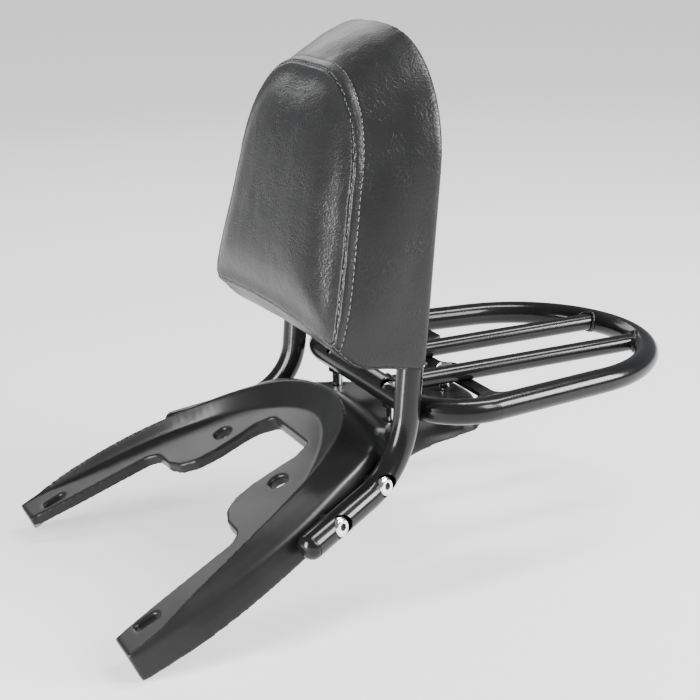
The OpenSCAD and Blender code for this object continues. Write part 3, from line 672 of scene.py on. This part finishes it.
def meshedPad():
    pad = copyOf("pad_cushion", "padCover")
    # stood upright while it is meshed, so that its leaning back comes out without steps
    upright = Matrix.Rotation(math.radians(padShape["lean"]), 4, "X")
    pad.data.transform(upright)
    applyModifier(pad, "REMESH", mode="VOXEL", voxel_size=padLook["fineVoxel"])
    applyModifier(pad, "SMOOTH", factor=0.5, iterations=padLook["fineEvenings"])
    pad.data.transform(upright.inverted())
    soft = pad.vertex_groups.new(name="soft")
    for v in pad.data.vertices:
        if not isHeld(v) and softShare(v.co) > 0:
            soft.add([v.index], softShare(v.co), "REPLACE")
    applyModifier(pad, "SMOOTH", factor=0.5, iterations=padLook["shoulderRounds"], vertex_group="soft")
    return pad


def blownBag():
    # the places of the coarse mesh and how far the cloth moves each of them
    bag = copyOf("pad_cushion", "padBag")
    applyModifier(bag, "REMESH", mode="VOXEL", voxel_size=bagLook["voxel"])
    applyModifier(bag, "SMOOTH", factor=0.5, iterations=bagLook["evenings"])
    home = numpy.array([v.co for v in bag.data.vertices])
    free = numpy.array([0.0 if isHeld(v) else softShare(v.co) for v in bag.data.vertices])
    held = bag.vertex_groups.new(name="held")
    held.add([int(i) for i in numpy.nonzero(free == 0)[0]], 1.0, "REPLACE")
    applyModifier(bag, "DISPLACE", strength=-bagLook["shrink"], mid_level=0.0)
    pick(bag)
    cloth = bag.modifiers.new("Cloth", "CLOTH")
    for key, value in clothLook.items():
        setattr(cloth.settings, key, value)
    cloth.settings.effector_weights.gravity = 0
    cloth.collision_settings.use_collision = False
    cloth.point_cache.frame_start = 1
    cloth.point_cache.frame_end = bagLook["frames"]
    for f in range(1, bagLook["frames"] + 1):
        bpy.context.scene.frame_set(f)
    bpy.ops.object.modifier_apply(modifier="Cloth")
    bpy.context.scene.frame_set(1)
    swell = numpy.array([v.co for v in bag.data.vertices]) - home
    length = numpy.linalg.norm(swell, axis=1)
    swell *= (numpy.minimum(length, bagLook["cap"]) / numpy.maximum(length, 0.000001))[:, None]
    print("cloth's fullness:", round(float(length.mean()) * 1000, 2), "mm on average")
    # each place takes on half of what its neighbours do, so that the fullness is even
    ends = numpy.array([e.vertices[:] for e in bag.data.edges])
    degree = numpy.bincount(ends.ravel(), minlength=len(home))[:, None]
    for i in range(bagLook["fieldRounds"]):
        around = numpy.zeros_like(swell)
        numpy.add.at(around, ends[:, 0], swell[ends[:, 1]])
        numpy.add.at(around, ends[:, 1], swell[ends[:, 0]])
        swell = (swell + around / degree) / 2 * free[:, None] ** bagLook["holdBack"]
    bpy.data.objects.remove(bag)
    return home, swell


def layOn(cover, home, swell):
    homeTree = nearTo([Vector(place) for place in home])
    for v in cover.data.vertices:
        if isHeld(v) or softShare(v.co) == 0:
            continue
        near = homeTree.find_n(v.co, bagLook["nearest"])
        weights = numpy.array([1 / (gap + bagLook["nearGap"]) for _, _, gap in near])
        push = (swell[[i for _, i, _ in near]] * weights[:, None]).sum(axis=0) / weights.sum()
        v.co += Vector(push) * softShare(v.co)


cover = meshedPad()
layOn(cover, *blownBag())
print("cover shaped:", len(cover.data.polygons), "faces")


# Seams: one round the front panel, a topstitch beside it on the band, one along the foot

seamLook = {"corner": 7, "besideAt": 0.8, "topstitchAt": 0.0098, "footPoints": 12, "near": 0.0046, "cuts": 2,
            "groove": 0.0012, "grooveWide": 0.0012, "footShare": 1.1, "topGroove": 0.0006, "topWide": 0.0011,
            "stripRise": 0.0002, "stripAt": 0.0048, "stripWide": 0.003}
puckerLook = {"rise": 0.0002, "run": 0.0042, "below": 0.0034, "wide": 0.002}
slackLook = {"slowScale": 34, "slowRise": 0.00022, "fastScale": 90, "fastRise": 0.00018}
bandLook = {"bulge": 0.002, "sagFrom": 0.150, "sagOver": 0.025, "sag": 0.013, "sagBend": 2.2}
ringCount = len(frontRim)
corner = seamLook["corner"]  # the outline's point at the middle of its lower corner
arched = list(range(corner, ringCount - corner + 1))


def bandPoint(i, t):
    # a place on the band between the back rim at 0 and the front rim at 1
    flat = backRim[i].lerp(frontRim[i], t)
    away = awayFromMiddle(backRim[i]).normalized()
    low = min(max((bandLook["sagFrom"] - flat.z) / bandLook["sagOver"], 0), 1)
    sag = low * bandLook["sag"] * math.sin(math.pi * t ** bandLook["sagBend"])
    return flat + away * bandLook["bulge"] * math.sin(math.pi * t) - Vector((0, 0, sag))


def dense(points, step=0.001):
    line = []
    for a, b in zip(points, points[1:]):
        count = max(1, round((b - a).length / step))
        line += [a + (b - a) * i / count for i in range(count)]
    return line + [points[-1]]


def besideSeam(i):
    back = (bandPoint(i, seamLook["besideAt"]) - frontRim[i]).normalized()
    return frontRim[i] + back * seamLook["topstitchAt"]


archLine = dense([frontRim[i] for i in arched])
stitchLine = dense([besideSeam(i) for i in arched])
rightFoot = [frontRim[i] for i in range(corner, -1, -1)]
leftFoot = [frontRim[(ringCount - i) % ringCount] for i in range(corner + 1)]
bandShares = [i / seamLook["footPoints"] for i in range(1, seamLook["footPoints"])]
footLine = dense([bandPoint(corner, t) for t in bandShares] + rightFoot + leftFoot[1:]
                 + [bandPoint(ringCount - corner, t) for t in reversed(bandShares)])

# the panel stands forward, rolls back towards its seam, and the arch is fullest at its middle

shoulder = {"forward": 0.0030, "back": 0.0014, "wide": 0.019, "bandDeep": 0.012, "behind": 0.03,
            "topRise": 0.0018, "topFrom": 0.27, "topOver": 0.09, "topWide": 0.036,
            "pull": 0.85, "pullWide": 0.008}
rimNear = nearTo(archLine + footLine)
for v in cover.data.vertices:
    high = min(max((v.co.z - shoulder["topFrom"]) / shoulder["topOver"], 0), 1)
    v.co.z += shoulder["topRise"] * math.exp(-(v.co.x / shoulder["topWide"]) ** 2) * high
for v in cover.data.vertices:
    if v.co.y < hoopAt(v.co) - shoulder["behind"]:
        rimPlace, _, gap = rimNear.find(v.co)
        fall = math.exp(-(gap / shoulder["wide"]) ** 2)
        onPanel = awayFromMiddle(v.co).length < awayFromMiddle(rimPlace).length
        if onPanel and v.co.y < panelY(v.co.z * 1000) / 1000 + shoulder["bandDeep"]:
            v.co.y -= shoulder["forward"] * (1 - fall)
        v.co.y += shoulder["back"] * fall

# the seam's edge is drawn out again to where the pattern has it

edgeLine = archLine + dense(rightFoot) + dense(leftFoot)
edgeNear = nearTo(edgeLine)
skin = treeOf(cover)
draw = [p - skin.find_nearest(p)[0] for p in edgeLine]
for v in cover.data.vertices:
    _, i, gap = edgeNear.find(v.co)
    if gap < 3 * shoulder["pullWide"]:
        v.co += draw[i] * shoulder["pull"] * math.exp(-(gap / shoulder["pullWide"]) ** 2)
skin = treeOf(cover)
archLine, stitchLine, footLine = ([skin.find_nearest(p)[0] for p in line]
                                  for line in (archLine, stitchLine, footLine))
archNear, stitchNear, footNear = nearTo(archLine), nearTo(stitchLine), nearTo(footLine)

# faces along the seams are cut finer, and the seams sunk in them

pick(cover)
for v in cover.data.vertices:
    v.select = False
for e in cover.data.edges:
    e.select = False
for p in cover.data.polygons:
    gaps = [tree.find(p.center)[2] for tree in (archNear, stitchNear, footNear)]
    p.select = min(gaps) < seamLook["near"]
    if p.select:
        for i in p.vertices:
            cover.data.vertices[i].select = True
bpy.ops.object.mode_set(mode="EDIT")
bpy.ops.mesh.select_mode(type="FACE")
bpy.ops.mesh.subdivide(number_cuts=seamLook["cuts"], smoothness=0)
bpy.ops.object.mode_set(mode="OBJECT")


def swellAt(gap, wide):
    return math.exp(-(gap / wide) ** 2)


def seamRise(place):
    arch, top = archNear.find(place)[2], stitchNear.find(place)[2]
    footPlace, _, foot = footNear.find(place)
    rise = -seamLook["groove"] * swellAt(arch, seamLook["grooveWide"])
    rise -= seamLook["topGroove"] * swellAt(top, seamLook["topWide"])
    rise -= seamLook["groove"] * seamLook["footShare"] * swellAt(foot, seamLook["grooveWide"])
    rise += (seamLook["stripRise"] * swellAt(arch - seamLook["stripAt"], seamLook["stripWide"])
             * swellAt(top - seamLook["stripAt"], seamLook["stripWide"]))
    if place.z < footPlace.z:  # the band is gathered a little under the foot seam
        wave = math.sin(2 * math.pi * place.x / puckerLook["run"])
        rise += puckerLook["rise"] * wave * swellAt(foot - puckerLook["below"], puckerLook["wide"])
    return rise


def slackRise(place):
    return (slackLook["slowRise"] * noise.noise(place * slackLook["slowScale"])
            + slackLook["fastRise"] * noise.noise(place * slackLook["fastScale"]))


normals = [v.normal.copy() for v in cover.data.vertices]
for v in cover.data.vertices:
    normal = normals[v.index]
    slack = slackRise(v.co) if normal.y < padLook["rearTurn"] else 0.0
    v.co += normal * (seamRise(v.co) + slack)
pick(cover)
bpy.ops.object.shade_smooth()
handOver(cover, "leather", leather, "pad_cushion")
print("seams sunk:", len(cover.data.polygons), "faces")


# Stitches, modelled once and copied along each row

stitchLook = {"pitch": 0.0052, "length": 0.0038, "width": 0.00105, "height": 0.0009, "start": 0.002,
              "seamLift": 0.0002, "topLift": 0.00025, "segments": 8, "rings": 5}


def stitchRow(line, lift):
    bpy.ops.object.select_all(action="DESELECT")
    bpy.ops.mesh.primitive_uv_sphere_add(segments=stitchLook["segments"], ring_count=stitchLook["rings"],
                                         radius=0.5)
    master = bpy.context.object
    tree = treeOf(cover)
    made = []
    run, due = 0.0, stitchLook["start"]
    for a, b in zip(line, line[1:]):
        run += (b - a).length
        if run < due:
            continue
        due += stitchLook["pitch"]
        spot, normal, _, _ = tree.find_nearest(b)
        along = (b - a).normalized()
        side = normal.cross(along).normalized()
        up = along.cross(side)
        piece = master.copy()
        piece.data = master.data.copy()
        bpy.context.scene.collection.objects.link(piece)
        turn = Matrix((side * stitchLook["width"], up * stitchLook["height"],
                       along * stitchLook["length"])).transposed()
        piece.data.transform(Matrix.Translation(spot + normal * lift) @ turn.to_4x4())
        if turn.determinant() < 0:
            piece.data.flip_normals()
        made.append(piece)
    bpy.data.objects.remove(master)
    return made


stitches = stitchRow(archLine, stitchLook["seamLift"]) + stitchRow(stitchLine, stitchLook["topLift"])
stitches += stitchRow(footLine, stitchLook["seamLift"])
stitchCount = len(stitches)
stitching = joined("padStitching", stitches)
bpy.ops.object.shade_smooth()
handOver(stitching, "leather", thread)
print("stitches:", stitchCount)


# Floor

floorLook = {"size": 60.0, "color": (0.45, 0.45, 0.45), "roughness": (0.7, 0.7), "glow": 0.9,
             "below": 0.0005}
bpy.ops.object.select_all(action="DESELECT")
bpy.ops.mesh.primitive_plane_add(size=floorLook["size"], location=(0, 0, cadLow[2] - floorLook["below"]))
floor = bpy.context.object
floor.name = "studioFloor"
pale = newFinish("paleFloor", floorLook)
paleShader = pale.node_tree.nodes["Principled BSDF"]
paleShader.inputs["Emission Color"].default_value = (1, 1, 1, 1)
paleShader.inputs["Emission Strength"].default_value = floorLook["glow"]
floor.data.materials.append(pale)

# Camera, fitted to the photograph of the real part

cameraLook = {"azimuth": 1.123, "elevation": 0.310, "roll": -0.018, "place": (1.1486, -0.4509, 0.4894),
              "sensor": 36, "focalPixels": 1528, "pixels": 700, "centre": (352.4, 349.1), "clip": (0.05, 100)}


def cameraTurn(azimuth, elevation, roll):
    back = Vector((math.sin(azimuth) * math.cos(elevation), -math.cos(azimuth) * math.cos(elevation),
                   math.sin(elevation)))
    right = Vector((math.cos(azimuth), math.sin(azimuth), 0))
    up = back.cross(right)
    rightRolled = right * math.cos(roll) + up * math.sin(roll)
    upRolled = up * math.cos(roll) - right * math.sin(roll)
    return Matrix((rightRolled, upRolled, back)).transposed().to_4x4()


bpy.ops.object.camera_add(location=(0, 0, 0))
camera = bpy.context.object
camera.matrix_world = (Matrix.Translation(Vector(cameraLook["place"]))
                       @ cameraTurn(cameraLook["azimuth"], cameraLook["elevation"], cameraLook["roll"]))
pixels, (centreX, centreY) = cameraLook["pixels"], cameraLook["centre"]
camera.data.sensor_width = cameraLook["sensor"]
camera.data.lens = cameraLook["sensor"] * cameraLook["focalPixels"] / pixels
camera.data.shift_x = (pixels / 2 - centreX) / pixels
camera.data.shift_y = (centreY - pixels / 2) / pixels
camera.data.clip_start, camera.data.clip_end = cameraLook["clip"]
bpy.context.scene.camera = camera

# Light

target = Vector((0, 0.12, 0.12))
lamps = {
    "frontBox": {"way": Vector((0.42, -1.85, 0.25)), "size": (0.6, 1.4), "power": 120},
    "rearBox": {"way": Vector((1.1, 1.45, 0.8)), "size": (0.6, 0.8), "power": 90},
    "farBox": {"way": Vector((-1.9, 0.1, 0.95)), "size": (1.6, 0.5), "power": 14},
    "topBox": {"way": Vector((0.1, 0.7, 1.8)), "size": (0.35, 1.2), "power": 50},
    "bandBox": {"way": Vector((1.35, 0.72, 1.15)), "size": (0.5, 0.8), "power": 34},
    "lowBox": {"way": Vector((0.25, -0.6, -0.13)), "size": (0.1, 0.14), "power": 2},
}
for name, lamp in lamps.items():
    bpy.ops.object.light_add(type="AREA", location=target + lamp["way"])
    box = bpy.context.object
    box.name = name
    box.data.shape = "RECTANGLE"
    box.data.size, box.data.size_y = lamp["size"]
    box.data.energy = lamp["power"]
    box.rotation_euler = lamp["way"].to_track_quat("Z", "Y").to_euler()

airLook = {"color": (0.95, 0.97, 1.0, 1), "strength": 0.28}
world = bpy.data.worlds.new("studioAir")
bpy.context.scene.world = world
world.use_nodes = True
world.node_tree.nodes["Background"].inputs["Color"].default_value = airLook["color"]
world.node_tree.nodes["Background"].inputs["Strength"].default_value = airLook["strength"]
print("stage set")
